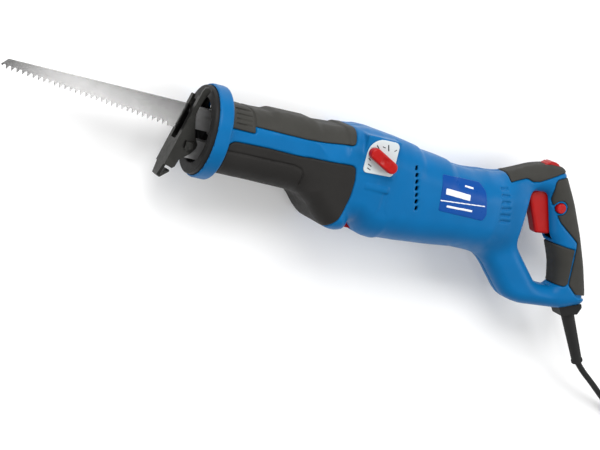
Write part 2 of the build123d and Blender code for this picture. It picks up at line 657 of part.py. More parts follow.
relief = bar_between(RELIEF_ENTRY, RELIEF_TOP, 6.2)
relief += bar_between(RELIEF_ENTRY, RELIEF_ENTRY + RELIEF_DIR * 3, 9.0)
relief += bar_between(RELIEF_TOP, RELIEF_END, 6.8, 5.3)
relief += bar_between(RELIEF_END - RELIEF_DIR * 2.5, RELIEF_END, 6.0)
node("strain_relief", relief)
node("cord_clamp", box((412, 433), (-74, -69), (-11, 11)))

FLOOR_LINE = -HALF_WIDTH + CORD_D / 2 + 0.1
CORD_ROUTE = [
    tuple(RELIEF_END), (479, -151, -11.2), (499, -162.5, -18), (524, -178, -29), (551, -193.5, FLOOR_LINE),
    (577, -208, FLOOR_LINE),
]
COIL_CENTRE = (598.0, -174.0)
TAIL_ROUTE = [(638, -166, FLOOR_LINE), (638.5, -147, -38.5), (634, -128, -35), (627, -110, -34.8)]


def route_tube(route):
    """Cord along straight runs joined by arcs as large as the runs allow."""
    points = [Vector(*p) for p in route]
    radii = []
    for before, here, after in zip(points, points[1:], points[2:]):
        arriving = here - before
        leaving = after - here
        half_turn = math.radians(arriving.get_angle(leaving)) / 2
        radii.append(0.45 * min(arriving.length, leaving.length) / math.tan(half_turn))
    path = FilletPolyline(*points, radius=radii)
    start = Plane(origin=points[0], z_dir=points[1] - points[0])
    return sweep(start * Circle(CORD_D / 2), path=path)


node("cord_tube", route_tube(CORD_ROUTE))
node("cord_tail", route_tube(TAIL_ROUTE))

coil = along_z(COIL_MEAN_R + COIL_WIDTH / 2, *COIL_CENTRE, -HALF_WIDTH, -HALF_WIDTH + COIL_HEIGHT)
coil -= along_z(COIL_MEAN_R - COIL_WIDTH / 2, *COIL_CENTRE, -60, 0)
TIE_TURN = 100.0
TIE_GAUGE = 1.2
half_tie = COIL_WIDTH / 2 + TIE_GAUGE
tie = box((-half_tie, half_tie), (-6, 6), (0, COIL_HEIGHT + TIE_GAUGE))
tie -= box((-COIL_WIDTH / 2, COIL_WIDTH / 2), (-7, 7), (TIE_GAUGE, COIL_HEIGHT))
tie = Pos(*COIL_CENTRE, -HALF_WIDTH) * Rot(0, 0, TIE_TURN) * Pos(COIL_MEAN_R, 0, 0) * tie
node("cord_coil", coil - tie)
node("cord_tie", tie)

PLUG_START = Vector(*TAIL_ROUTE[-1])
last_run = PLUG_START - Vector(*TAIL_ROUTE[-2])
PLUG_DIR = Vector(last_run.X, last_run.Y, 0).normalized()
plug_plane = Plane(origin=PLUG_START, x_dir=Vector(-PLUG_DIR.Y, PLUG_DIR.X, 0), z_dir=PLUG_DIR)
PLUG_LENGTH = 38.0
PIN_RADIUS = 2.4
PIN_LENGTH = 19.0
PIN_SPACING = 19.0


def plug_slice(distance, width, height, corner):
    return plug_plane.offset(distance) * RectangleRounded(width, height, corner)


plug_slices = [plug_slice(0, 11, 11, 4.5), plug_slice(14, 20, 14, 6.5), plug_slice(22, 35, 16.5, 7.5)]
plug = loft(plug_slices, ruled=True)
plug += extrude(plug_slice(22, 35, 16.5, 7.5), PLUG_LENGTH - 22)
pins = []
for side in (-1, 1):
    pin_face = plug_plane.offset(PLUG_LENGTH) * Pos(side * PIN_SPACING / 2, 0) * Circle(PIN_RADIUS)
    pins.append(extrude(pin_face, PIN_LENGTH))
node("plug_body", plug)
node("plug_pins", *pins)

# ---------------------------------------------------------------- files
os.makedirs("parts", exist_ok=True)
to_frame = Pos(-FOOTPRINT_CENTRE[0], -FOOTPRINT_CENTRE[1], HALF_WIDTH)
for name, solids in NODES.items():
    pieces = [solid for shape in solids for solid in (to_frame * shape).solids()]
    export_step(pieces[0] if len(pieces) == 1 else Compound(children=pieces), f"parts/{name}.step")
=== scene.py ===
"""Looks of the reciprocating saw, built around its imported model.

Sizes are in mm in the tool's own axes: X runs from the blade to the handle with its zero on the
collar's front face, Y points to the saw's top and Z out of its left side, which is up as it lies.
to_frame() turns such points into the shared frame, in metres.
"""
import json
import math

import bpy
import numpy as np
from mathutils import Matrix, Vector

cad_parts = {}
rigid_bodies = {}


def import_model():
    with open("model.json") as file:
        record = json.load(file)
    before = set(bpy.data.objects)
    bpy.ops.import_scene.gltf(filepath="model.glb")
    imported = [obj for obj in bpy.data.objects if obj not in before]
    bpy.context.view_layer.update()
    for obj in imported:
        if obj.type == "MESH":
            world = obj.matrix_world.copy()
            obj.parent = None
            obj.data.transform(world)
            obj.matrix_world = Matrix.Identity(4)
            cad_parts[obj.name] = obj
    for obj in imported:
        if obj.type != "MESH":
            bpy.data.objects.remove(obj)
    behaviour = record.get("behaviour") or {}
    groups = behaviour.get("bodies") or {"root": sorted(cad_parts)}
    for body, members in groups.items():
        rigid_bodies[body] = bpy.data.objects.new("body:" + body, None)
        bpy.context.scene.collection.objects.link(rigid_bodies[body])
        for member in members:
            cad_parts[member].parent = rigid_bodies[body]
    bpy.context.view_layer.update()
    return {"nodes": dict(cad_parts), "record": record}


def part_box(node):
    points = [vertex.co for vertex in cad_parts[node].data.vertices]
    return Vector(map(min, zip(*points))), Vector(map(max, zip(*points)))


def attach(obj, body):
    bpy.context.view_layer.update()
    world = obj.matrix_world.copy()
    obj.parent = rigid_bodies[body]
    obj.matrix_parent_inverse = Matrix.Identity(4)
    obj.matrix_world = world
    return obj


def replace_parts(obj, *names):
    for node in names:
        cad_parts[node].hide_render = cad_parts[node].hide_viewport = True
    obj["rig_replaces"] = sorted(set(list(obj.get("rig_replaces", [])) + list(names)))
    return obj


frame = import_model()

MM = 0.001
# how far the collar liner stands out of the collar's front face
LINER_PROUD = 3.4
liner_low, liner_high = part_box("collar_liner")
ZERO = (liner_low + liner_high) / 2
ZERO.x = liner_low.x + LINER_PROUD * MM
HALF_WIDTH = 43.5


def to_frame(points):
    """Points of the tool's axes in mm, as points of the shared frame in metres."""
    return np.asarray(points, float) * MM + np.array(ZERO)


# ---------------------------------------------------------------- materials
PLASTIC_SPECULAR = 0.12
METAL_SPECULAR = 0.5


def new_material(name, color, rough, metallic=0.0, specular=PLASTIC_SPECULAR):
    """A plain material and its shader node."""
    mat = bpy.data.materials.new(name)
    mat.use_nodes = True
    shader = mat.node_tree.nodes["Principled BSDF"]
    shader.inputs["Base Color"].default_value = (*color, 1)
    shader.inputs["Roughness"].default_value = rough
    shader.inputs["Metallic"].default_value = metallic
    shader.inputs["Specular IOR Level"].default_value = specular
    return mat, shader


def add_node(mat, kind, **inputs):
    """A shader node with some of its inputs set."""
    item = mat.node_tree.nodes.new(kind)
    for key, value in inputs.items():
        item.inputs[key.replace("_", " ")].default_value = value
    return item


def object_noise(mat, scale, detail=3.0, stretch=(1, 1, 1)):
    """Noise in the object's own coordinates, in metres, stretched along its axes."""
    place = add_node(mat, "ShaderNodeTexCoord")
    mapping = add_node(mat, "ShaderNodeMapping", Scale=stretch)
    noise = add_node(mat, "ShaderNodeTexNoise", Scale=scale, Detail=detail)
    links = mat.node_tree.links
    links.new(place.outputs["Object"], mapping.inputs["Vector"])
    links.new(mapping.outputs["Vector"], noise.inputs["Vector"])
    return noise


def ranged(mat, source, low, high):
    """A value that follows noise between two limits."""
    node = add_node(mat, "ShaderNodeMapRange", From_Min=0.3, From_Max=0.7, To_Min=low, To_Max=high)
    mat.node_tree.links.new(source.outputs["Fac"], node.inputs["Value"])
    return node


def tinted(mat, shader, source, dark, light):
    """Base colour that follows noise between two colours."""
    mix = add_node(mat, "ShaderNodeMix")
    mix.data_type = "RGBA"
    ends = {"A": dark, "B": light}
    for socket in mix.inputs:
        if socket.type == "RGBA":
            socket.default_value = (*ends[socket.name], 1)
    share = ranged(mat, source, 0.0, 1.0)
    links = mat.node_tree.links
    links.new(share.outputs["Result"], mix.inputs[0])
    out = next(s for s in mix.outputs if s.type == "RGBA")
    links.new(out, shader.inputs["Base Color"])


def bumped(mat, shader, source, strength, depth):
    """Fine relief that follows noise, its depth in metres."""
    bump = add_node(mat, "ShaderNodeBump", Strength=strength, Distance=depth)
    links = mat.node_tree.links
    links.new(source.outputs["Fac"], bump.inputs["Height"])
    links.new(bump.outputs["Normal"], shader.inputs["Normal"])


def scaled(color, factor):
    """A colour made darker or lighter."""
    return tuple(min(1.0, c * factor) for c in color)


def glossed(mat, shader, source, low, high):
    """Roughness that follows noise between two limits."""
    gloss = ranged(mat, source, low, high)
    mat.node_tree.links.new(gloss.outputs["Result"], shader.inputs["Roughness"])


def moulded(
    name, color, rough, grain=2600, depth=0.00012, strength=0.25, spread=0.06, specular=PLASTIC_SPECULAR,
):
    """Moulded plastic or rubber: spark-eroded grain, faint mottling and uneven gloss."""
    mat, shader = new_material(name, color, rough, specular=specular)
    mottle = object_noise(mat, 38, 4)
    tinted(mat, shader, mottle, scaled(color, 1 - spread), scaled(color, 1 + spread))
    bumped(mat, shader, object_noise(mat, grain, 2), strength, depth)
    glossed(mat, shader, object_noise(mat, 160, 3), rough - 0.05, rough + 0.06)
    return mat


def metal(name, color, rough, along=(1, 1, 1), grain=900, depth=0.00004, strength=0.3, spread=0.08):
    """Machined, ground or cast metal: its marks stretched along one direction."""
    mat, shader = new_material(name, color, rough, metallic=1.0, specular=METAL_SPECULAR)
    bumped(mat, shader, object_noise(mat, grain, 3, along), strength, depth)
    mottle = object_noise(mat, 60, 4)
    tinted(mat, shader, mottle, scaled(color, 1 - spread), scaled(color, 1 + spread))
    glossed(mat, shader, object_noise(mat, 240, 3, along), rough - 0.05, rough + 0.08)
    return mat


FINISH = {
    "blue_housing": moulded("blue_nylon", (0.0008, 0.115, 0.31), 0.38),
    "grey_softgrip": moulded("grey_softgrip", (0.038, 0.037, 0.033), 0.6, 1900, 0.0002, 0.4, 0.08),
    "black_softgrip": moulded("black_softgrip", (0.019, 0.018, 0.017), 0.58, 1900, 0.0002, 0.4, 0.08),
    "black_plastic": moulded("black_nylon", (0.014, 0.014, 0.014), 0.45),
    "red_plastic": moulded("red_plastic", (0.36, 0.0025, 0.002), 0.34, 3000, 0.00006, 0.15, specular=0.25),
    "white_plastic": moulded("pale_plastic", (0.55, 0.60, 0.61), 0.42, 3000, 0.00005, 0.15, 0.03),
    "label_film": moulded("label_film", (0.003, 0.058, 0.27), 0.3, 4000, 0.00002, 0.1, 0.03),
    "blade_steel": metal("blade_steel", (0.15, 0.149, 0.148), 0.16, (2, 60, 60), 300, 0.000008, 0.15, 0.04),
    "steel": metal("ground_steel", (0.52, 0.52, 0.52), 0.4, (1, 12, 12), 500, 0.00002, 0.2),
    "blackened_steel": metal("blackened_steel", (0.045, 0.045, 0.042), 0.4, (1, 1, 1), 1400, 0.00008, 0.4),
    "cast_aluminium": metal("cast_aluminium", (0.30, 0.31, 0.32), 0.55, (1, 1, 1), 1600, 0.0001, 0.3),
    "bronze": metal("sintered_bronze", (0.50, 0.30, 0.12), 0.45, (1, 1, 1), 1500),
    "lamination": metal("laminated_iron", (0.27, 0.28, 0.30), 0.5, (40, 1, 1), 90, 0.0002, 0.6),
    "copper": metal("enamelled_copper", (0.58, 0.22, 0.08), 0.35, (30, 4, 4), 120, 0.0003, 0.6),
    "carbon": moulded("pressed_carbon", (0.03, 0.03, 0.033), 0.6),
    "black_rubber": moulded("black_rubber", (0.02, 0.02, 0.02), 0.6, 1700, 0.00015, 0.3),
    "cord_rubber": moulded("cord_rubber", (0.018, 0.018, 0.018), 0.58, 1500, 0.0001, 0.3),
    "plated_pin": metal("plated_brass", (0.66, 0.63, 0.56), 0.2, (1, 1, 1), 900),
}
PRINT_WHITE = moulded("print_white", (0.74, 0.77, 0.80), 0.4, 3000, 0.00002, 0.1, 0.02)
PRINT_DARK = moulded("print_dark", (0.03, 0.03, 0.035), 0.4, 3000, 0.00002, 0.1, 0.02)


# ---------------------------------------------------------------- pieces
def smooth_shading(mesh, angle):
    """Smooth shading, with sharp edges past an angle if one is given."""
    mesh.polygons.foreach_set("use_smooth", [True] * len(mesh.polygons))
    if angle is not None:
        mesh.set_sharp_from_angle(angle=math.radians(angle))


def piece(name, vertices, faces, slot, body, *replaced, angle=None, material=None):
    """A named mesh of tool points that rides on a body and stands for CAD nodes."""
    mesh = bpy.data.meshes.new(name)
    mesh.from_pydata(to_frame(vertices).tolist(), [], [list(map(int, f)) for f in faces])
    mesh.validate()
    smooth_shading(mesh, angle)
    obj = bpy.data.objects.new(name, mesh)
    bpy.context.scene.collection.objects.link(obj)
    obj.data.materials.append(material or FINISH[slot])
    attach(obj, body)
    if replaced:
        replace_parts(obj, *replaced)
    return obj


def bevelled(obj, width, segments, angle):
    """A bevel modifier on the edges that turn by more than the angle."""
    bevel = obj.modifiers.new("bevel", "BEVEL")
    bevel.width = width * MM
    bevel.segments = segments
    bevel.limit_method = "ANGLE"
    bevel.angle_limit = math.radians(angle)
    return bevel


def softened(obj, width):
    """Weld, flatten and bevel modifiers, which round the edges of a CAD node."""
    weld = obj.modifiers.new("weld", "WELD")
    weld.merge_threshold = 0.01 * MM
    flat = obj.modifiers.new("flat", "DECIMATE")
    flat.decimate_type = "DISSOLVE"
    flat.angle_limit = math.radians(0.6)
    bevel = bevelled(obj, width, 2, 35)
    bevel.harden_normals = True


def extruded(name, line, low, high, slot, body, *replaced, width=0.3, segments=2, material=None):
    """Flat outline in the side view carried from low to high in Z, its rims rounded."""
    count = len(line)
    vertices = [(x, y, low) for x, y in line] + [(x, y, high) for x, y in line]
    faces = [list(range(count))[::-1], list(range(count, 2 * count))]
    faces += [[i, (i + 1) % count, count + (i + 1) % count, count + i] for i in range(count)]
    obj = piece(name, vertices, faces, slot, body, *replaced, angle=40, material=material)
    bevelled(obj, width, segments, 50)


# ---------------------------------------------------------------- shapes as sampled distances
class Grid:
    """Evenly spaced sample points in a box of the tool's axes."""

    def __init__(self, low, high, step):
        self.low = np.array(low, float)
        self.step = step
        lines = [np.arange(a, b + step, step, dtype=np.float32) for a, b in zip(low, high)]
        self.x = lines[0][:, None, None]
        self.y = lines[1][None, :, None]
        self.z = lines[2][None, None, :]


def blend_min(a, b, size):
    """Union of two shapes with a fillet of about that size."""
    h = np.maximum(size - np.abs(a - b), 0) / size
    return np.minimum(a, b) - h * h * size / 4


def blend_max(a, b, size):
    """What two shapes share, with the edge rounded."""
    return -blend_min(-a, -b, size)


def smooth_row(x, rows, column, reach=2.5):
    """One column of rows at x: straight between rows, averaged over a short reach."""
    places = [row[0] for row in rows]
    values = [row[column] for row in rows]
    offsets = np.linspace(-reach, reach, 9)
    weights = 1 - np.abs(offsets) / (reach * 1.25)
    total = sum(w * np.interp(x + o, places, values) for o, w in zip(offsets, weights))
    return (total / weights.sum()).astype(np.float32)


def tube_form(grid, rows, crown):
    """Body of rounded-rectangle sections along X. Rows: x, top, bottom, half width, corner radius."""
    top, bottom, half, corner = [smooth_row(grid.x, rows, i) for i in (1, 2, 3, 4)]
    middle = (top + bottom) / 2
    height = (top - bottom) / 2
    y = grid.y - middle
    side = np.abs(grid.z) + crown * (y / height) ** 2
    over_y = np.abs(y) - (height - corner)
    over_z = side - (half - corner)
    outside = np.hypot(np.maximum(over_y, 0), np.maximum(over_z, 0))
    return outside + np.minimum(np.maximum(over_y, over_z), 0) - corner


def rounded_prism(flat, depth, half, radius):
    """Flat shape's distance, carried from -half to half in depth, with its rims rounded."""
    across = flat + radius
    along = np.abs(depth) - (half - radius)
    outside = np.hypot(np.maximum(across, 0), np.maximum(along, 0))
    return outside + np.minimum(np.maximum(across, along), 0) - radius


def block(grid, x, y, z, radius):
    """Box with rounded edges from its (low, high) pairs."""
    over = []
    for line, (low, high) in zip((grid.x, grid.y, grid.z), (x, y, z)):
        over.append(np.abs(line - (low + high) / 2) - ((high - low) / 2 - radius))
    outside = np.sqrt(sum(np.maximum(o, 0) ** 2 for o in over))
    return outside + np.minimum(np.maximum(np.maximum(over[0], over[1]), over[2]), 0) - radius


def rounded_outline(rows):
    """Closed line through rows of x, y and corner radius, its corners turned into arcs."""
    points = [np.array(row[:2], float) for row in rows]
    line = []
    for i, here in enumerate(points):
        before = points[i - 1] - here
        after = points[(i + 1) % len(points)] - here
        radius = rows[i][2]
        if radius <= 0:
            line.append(here)
            continue
        length_a, length_b = np.linalg.norm(before), np.linalg.norm(after)
        a, b = before / length_a, after / length_b
        half = math.acos(np.clip(np.dot(a, b), -1, 1)) / 2
        cut = min(radius / math.tan(half), 0.49 * length_a, 0.49 * length_b)
        radius = cut * math.tan(half)
        centre = here + (a + b) / np.linalg.norm(a + b) * radius / math.sin(half)
        start = here + a * cut - centre
        turn = math.pi - 2 * half
        way = np.sign(start[0] * (here - centre)[1] - start[1] * (here - centre)[0])
        steps = max(2, int(turn / 0.2))
        for j in range(steps + 1):
            angle = way * turn * j / steps
            c, s = math.cos(angle), math.sin(angle)
            line.append(centre + np.array([c * start[0] - s * start[1], s * start[0] + c * start[1]]))
    return np.array(line)


def flat_distance(grid, rows):
    """Distance to a rounded outline in the side view: below zero inside it."""
    line = rounded_outline(rows)
    x, y = np.broadcast_arrays(grid.x[:, :, 0], grid.y[:, :, 0])
    nearest = np.full(x.shape, 1e9)
    inside = np.zeros(x.shape, bool)
    for (ax, ay), (bx, by) in zip(line, np.roll(line, -1, 0)):
        dx, dy = bx - ax, by - ay
        if dx * dx + dy * dy < 1e-12:
            continue
        share = np.clip(((x - ax) * dx + (y - ay) * dy) / (dx * dx + dy * dy), 0, 1)
        nearest = np.minimum(nearest, (x - ax - share * dx) ** 2 + (y - ay - share * dy) ** 2)
        if ay != by:
            inside ^= ((ay > y) != (by > y)) & (x < dx * (y - ay) / dy + ax)
    distance = np.sqrt(nearest)
    return np.where(inside, -distance, distance).astype(np.float32)[:, :, None]


def line_distance(grid, points):
    """Distance to an open line in the side view."""
    x, y = grid.x[:, :, 0], grid.y[:, :, 0]
    nearest = 1e9
    for (ax, ay), (bx, by) in zip(points, points[1:]):
        dx, dy = bx - ax, by - ay
        share = np.clip(((x - ax) * dx + (y - ay) * dy) / (dx * dx + dy * dy), 0, 1)
        nearest = np.minimum(nearest, (x - ax - share * dx) ** 2 + (y - ay - share * dy) ** 2)
    return np.sqrt(nearest).astype(np.float32)[:, :, None]


def surface_of(values, low, step):
    """Vertices and quads of the zero surface of sampled distances."""
    inside = values < 0
    cells = np.array(values.shape) - 1
    rings, places = [], []
    for axis in range(3):
        near, far = [slice(None)] * 3, [slice(None)] * 3
        near[axis], far[axis] = slice(None, -1), slice(1, None)
        at = np.argwhere(inside[tuple(near)] != inside[tuple(far)])
        u, v = (axis + 1) % 3, (axis + 2) % 3
        whole = (at[:, u] > 0) & (at[:, v] > 0) & (at[:, u] < cells[u]) & (at[:, v] < cells[v])
        at = at[whole]
        after = at.copy()
        after[:, axis] += 1
        first, second = values[tuple(at.T)], values[tuple(after.T)]
        place = at.astype(float)
        place[:, axis] += first / (first - second)
        ring = []
        for du, dv in ((0, 0), (1, 0), (1, 1), (0, 1)):
            cell = at.copy()
            cell[:, u] -= du
            cell[:, v] -= dv
            ring.append(np.ravel_multi_index(cell.T, cells))
        ring = np.stack(ring, 1)
        turned = first > 0
        ring[turned] = ring[turned][:, ::-1]
        rings.append(ring)
        places.append(place)
    _, index = np.unique(np.concatenate(rings), return_inverse=True)
    index = index.reshape(-1, 4)
    places = np.concatenate(places)
    count = np.bincount(index.ravel())
    sums = [np.bincount(index.ravel(), np.repeat(places[:, i], 4)) for i in range(3)]
    return np.stack(sums, 1) / count[:, None] * step + low, index


def formed(name, values, grid, slot, body, *replaced):
    """The zero surface of sampled distances as a piece."""
    vertices, quads = surface_of(values, grid.low, grid.step)
    return piece(name, vertices, quads, slot, body, *replaced)


# ---------------------------------------------------------------- casing and its soft pads
COLLAR_R, COLLAR_LENGTH = 43.9, 15.0
# rows: x, top, bottom, half width, corner radius
NOSE = [
    (0, 31.2, -34, 34.5, 22), (46, 31.2, -33.5, 35, 22), (57, 31.8, -33.5, 35.4, 22),
    (63, 34.6, -33.5, 36.2, 22), (100, 35.2, -33.5, 37.6, 22), (106, 33, -33.5, 38, 22),
    (126, 34.6, -34.5, 40, 24), (147, 36.2, -36, 42, 25), (170, 36.2, -36, 42, 25),
]
NOSE_X = (4, 165)
MOTOR = [
    (134, 35.4, -50, 42.5, 26), (148, 37.4, -50.8, 43.3, 26), (154, 39.4, -50.8, 43.5, 26),
    (161, 39.6, -51, 43.5, 27), (165, 39.6, -54, 43.5, 27), (170, 39.2, -58, 43.4, 27),
    (178, 38.6, -60.4, 43.3, 27), (188, 37.6, -61, 43.1, 27), (192, 37.2, -59.6, 43.1, 28),
    (197, 36.8, -59, 43, 28), (211, 34.6, -58.4, 42.4, 28), (216, 31.6, -58, 42.2, 28),
    (246, 29.2, -55.6, 41.2, 28), (254, 25.6, -54.8, 40.8, 28), (285, 24, -51.4, 38.6, 27),
    (293, 25, -50.4, 38, 26), (304, 24, -48.8, 36.8, 25), (322, 20.5, -43.2, 29, 20),
    (338, 18.5, -37, 19, 14),
]
MOTOR_X = (134, 340)
# rows: x, y, corner radius
SUNK_FIELD = [
    (176, -14, 1), (181.5, -13.5, 1), (181.5, -28, 8), (186, -34, 6), (181, -46, 6), (169, -46, 6),
    (176, -30, 8),
]
LOCK_BUTTON = (382.0, 9.0)
LOCK_SEAT_R, LOCK_RING_R = 5.5, 7.2
WHEEL = (366.5, 41.0)
WHEEL_ROOM_R, WHEEL_ROOM_HALF = 11.3, 7.8
TRIGGER_POCKET = [
    (340, 12, 0), (350, 22, 0), (362, 26.5, 0), (376, 29, 0), (381, 18, 0), (382, 6, 0), (395, -12, 0),
    (393, -20, 0), (386, -24, 0), (360, -24, 0),
]
HANDLE_OUTLINE = [
    (286, 18, 0), (304, 22.5, 40), (324, 34, 60), (345, 43.7, 60), (362, 48.5, 40), (378.5, 48, 8),
    (400, 17, 90), (417, -13, 120), (431, -42, 150), (441, -67, 60), (444.5, -80, 8), (418, -90, 30),
    (371, -93.5, 40), (351, -91, 30), (323.5, -64, 40), (307, -50.5, 40), (286, -44, 0),
]
HANDLE_OPENING = [
    (346, 18, 6), (347.5, -12, 40), (345.5, -33, 15), (382.5, -70, 14), (405.5, -70.5, 6), (399.6, -48, 60),
    (388.5, -27, 30), (381, -19, 20), (366, 20, 6),
]
BELLY = [
    (99, 20, 0), (99, -31, 3), (105, -36.5, 10), (111.5, -41.5, 30), (118.6, -48.9, 50), (126, -55.2, 40),
    (134, -59.2, 40), (143, -60.2, 30), (151, -57.6, 4), (154, -52, 2), (156, 20, 0),
]
DIAL = (164.5, 15.5)
DIAL_FACE_Z = 43.5
WALL = 4.6
SEAM = 0.12
MOUTH_R = 32.4
LINER_SEAT_R, LINER_SEAT_DEPTH = 41.9, 3.1
# faces deeper than this inside the casing's form are made black as painted shade, though the casing is blue
# throughout
SHADE_DEPTH = 2.6
PAD_DEPTH = 2.2
PAD_PROUD = 0.35
PAD_GAP = 0.45
# rows: x, y, corner radius
PADS = {
    "nose_pad_skin": [
        (15.5, 10.7, 2), (40.8, 10.7, 1.5), (40, 16.9, 0), (90, 16.9, 60), (110, 18.4, 60), (138, 22, 5),
        (141, 36, 20), (146, 60, 0), (15.5, 60, 0),
    ],
    "nose_boot_skin": [
        (17, 0.2, 9), (57, 1.6, 60), (86, 1.2, 60), (106, 2.8, 60), (142, 5, 6), (145, -8, 30),
        (145, -24, 40), (142.5, -38, 30), (139.5, -48.5, 20), (133, -58, 10), (128, -80, 0),
        (15.5, -80, 0), (15.5, -22, 20),
    ],
    "handle_top_skin": [
        (318, 22, 0), (336, 29.5, 4), (343, 27.5, 3), (351, 29, 4), (374, 42, 8), (395, 47, 0), (395, 70, 0),
        (300, 70, 0),
    ],
    "handle_back_skin": [
        (368, 36, 6), (371, 14, 12), (386, -5, 14), (412.4, -21.5, 2), (415.8, -64, 4), (430, -75, 6),
        (460, -75, 0), (460, 10, 0), (390, 42, 0),
    ],
    "grip_skin": [
        (374, -23, 0), (383, -26, 2), (412, -28, 1), (415.3, -63, 2), (412, -67, 4), (394, -67, 0),
        (388, -50, 0),
    ],
}
PANEL_GROOVE = [(15, 10.7), (40.6, 10.7), (38.6, 21), (37.6, 28.4), (33.8, 34.4), (33.8, 60)]
BOOT_GROOVE = [(15, -10.1), (41.6, -9.4), (69.5, -8.9), (84.5, -8.6), (91.7, -10.6), (95, -15.1), (95.8, -24)]
PAD_NODES = {
    "nose_pad_skin": ("nose_top_pad", "grey_softgrip"),
    "nose_boot_skin": ("nose_boot", "black_softgrip"),
    "handle_top_skin": ("handle_top_pad", "grey_softgrip"),
    "handle_back_skin": ("handle_back_pad", "grey_softgrip"),
    "grip_skin": ("grip_pad", "grey_softgrip"),
}
# sample steps
CASING_STEP = 1.15
PAD_STEP = 0.8
KNOB_STEP = 0.5
LABEL_STEP = 0.45
TRIGGER_STEP = 0.55


def round_distance(grid, centre, radius):
    """Distance to a circle in the side view: below zero inside it."""
    return np.hypot(grid.x - centre[0], grid.y - centre[1]) - radius


def wheel_room(grid):
    """The space in which the speed wheel turns."""
    return np.maximum(round_distance(grid, WHEEL, WHEEL_ROOM_R), np.abs(grid.z) - WHEEL_ROOM_HALF)


def handle_form(grid):
    """The D handle's bar, and its opening in the side view."""
    outline = flat_distance(grid, HANDLE_OUTLINE)
    opening = flat_distance(grid, HANDLE_OPENING)
    bar_form = rounded_prism(np.maximum(outline, -opening), grid.z, 17.5, 12.5)
    return bar_form, opening


def outer_form(grid):
    """Outer face of the casing, pads included."""
    x, y, z = grid.x, grid.y, grid.z
    nose = np.maximum(tube_form(grid, NOSE, 2.0), np.maximum(NOSE_X[0] - x, x - NOSE_X[1]))
    motor = np.maximum(tube_form(grid, MOTOR, 2.6), np.maximum(MOTOR_X[0] - x, x - MOTOR_X[1]))
    belly = rounded_prism(flat_distance(grid, BELLY), z, HALF_WIDTH, 19)
    form = blend_min(nose, blend_min(motor, belly, 4), 6)
    radius = np.hypot(y, z)
    collar = rounded_prism(radius - COLLAR_R, x - COLLAR_LENGTH / 2, COLLAR_LENGTH / 2, 2.6)
    form = blend_min(form, collar, 5)
    bar_form, opening = handle_form(grid)
    form = blend_max(form, -opening, 8)
    form = blend_min(form, bar_form, 17)
    return blend_max(form, np.abs(z) - HALF_WIDTH, 1.5)


def vent_slots(grid):
    """Air slots: a slanting column of narrow holes behind the dial."""
    slots = 1e9
    for i in range(7):
        y = 16 - 6.1 * i
        x = 203.8 + 1.75 * i
        slots = np.minimum(slots, block(grid, (x - 1.5, x + 1.5), (y - 2.1, y + 2.1), (-60, 60), 0.7))
    return slots


def side_grooves(grid):
    """Six slanting grooves in front of the handle, spread towards the bottom."""
    grooves = 1e9
    for i in range(6):
        y = 15.4 - 6.1 * i
        middle = 308.5 + 1.6 * i
        half = 4.6 + 0.4 * i
        ends = [(middle - half, y - 0.4), (middle + half, y + 0.4)]
        grooves = np.minimum(grooves, line_distance(grid, ends) - 1.1)
    return grooves


def casing(grid):
    """The shell with its pockets, and the outer form it is made from."""
    form = outer_form(grid)
    x, y, z = grid.x, grid.y, grid.z
    radius = np.hypot(y, z)
    # raised bar and sunk field below the dial
    sunk = np.maximum(flat_distance(grid, SUNK_FIELD), 42.2 - np.abs(z))
    shell = blend_max(form, -sunk, 0.8)
    raised = block(grid, (155.5, 180), (-13.4, -8), (30, 44.3), 0.8)
    shell = blend_min(shell, raised, 1.0)
    boss = block(grid, (146.6, 181), (0.2, 36), (20, DIAL_FACE_Z), 0.8)
    shell = blend_min(shell, boss, 2.0)
    for rows in PADS.values():
        pocket = np.maximum(flat_distance(grid, rows), -(form + PAD_DEPTH))
        shell = blend_max(shell, -pocket, 0.9)
    ring = np.maximum(round_distance(grid, LOCK_BUTTON, LOCK_RING_R), form + 0.1)
    shell = np.minimum(shell, np.maximum(ring, 9 - np.abs(z)))
    shell = np.maximum(shell, -(form + WALL))
    shell = blend_max(shell, -vent_slots(grid), 0.5)
    shell = blend_max(shell, -np.maximum(side_grooves(grid), -(form + 1.7)), 0.8)
    rooms = [
        # liner seat, mouth and the space behind it
        rounded_prism(radius - LINER_SEAT_R, x, LINER_SEAT_DEPTH, 0.5),
        np.maximum(radius - MOUTH_R, x - COLLAR_LENGTH),
        block(grid, (8, 60), (-28, 27.2), (-29, 29), 4),
        # trigger, speed wheel, lock-on button and shoe button
        np.maximum(flat_distance(grid, TRIGGER_POCKET), np.abs(z) - 8.3),
        wheel_room(grid),
        np.maximum(round_distance(grid, LOCK_BUTTON, LOCK_SEAT_R), 8 - z),
        block(grid, (161, 173), (-80, -45), (-9.5, 9.5), 0.3),
    ]
    for room in rooms:
        shell = np.maximum(shell, -room)
    return shell, form


def pad_values(name, grid):
    """A soft pad: the outer layer of the form over its region, with its grooves."""
    form = outer_form(grid)
    region = flat_distance(grid, PADS[name])
    face = form - PAD_PROUD
    values = np.maximum(blend_max(face, region + PAD_GAP, 1.8), -(form + PAD_DEPTH - 0.1))
    grooves = []
    if name == "nose_pad_skin":
        grooves.append(line_distance(grid, PANEL_GROOVE) - 0.9)
        for i in range(4):
            grooves.append(line_distance(grid, [(20, 16.5 + 4 * i), (35, 16.9 + 4 * i)]) - 0.55)
    if name == "nose_boot_skin":
        grooves.append(line_distance(grid, BOOT_GROOVE) - 0.9)
    for groove in grooves:
        values = blend_max(values, -np.maximum(groove, -(face + 1.2)), 0.6)
    if name == "handle_back_skin":
        around = round_distance(grid, LOCK_BUTTON, LOCK_RING_R + 0.2)
        values = np.maximum(values, np.minimum(-around, grid.z))
    if name in ("handle_top_skin", "handle_back_skin"):
        values = np.maximum(values, -wheel_room(grid))
    return values


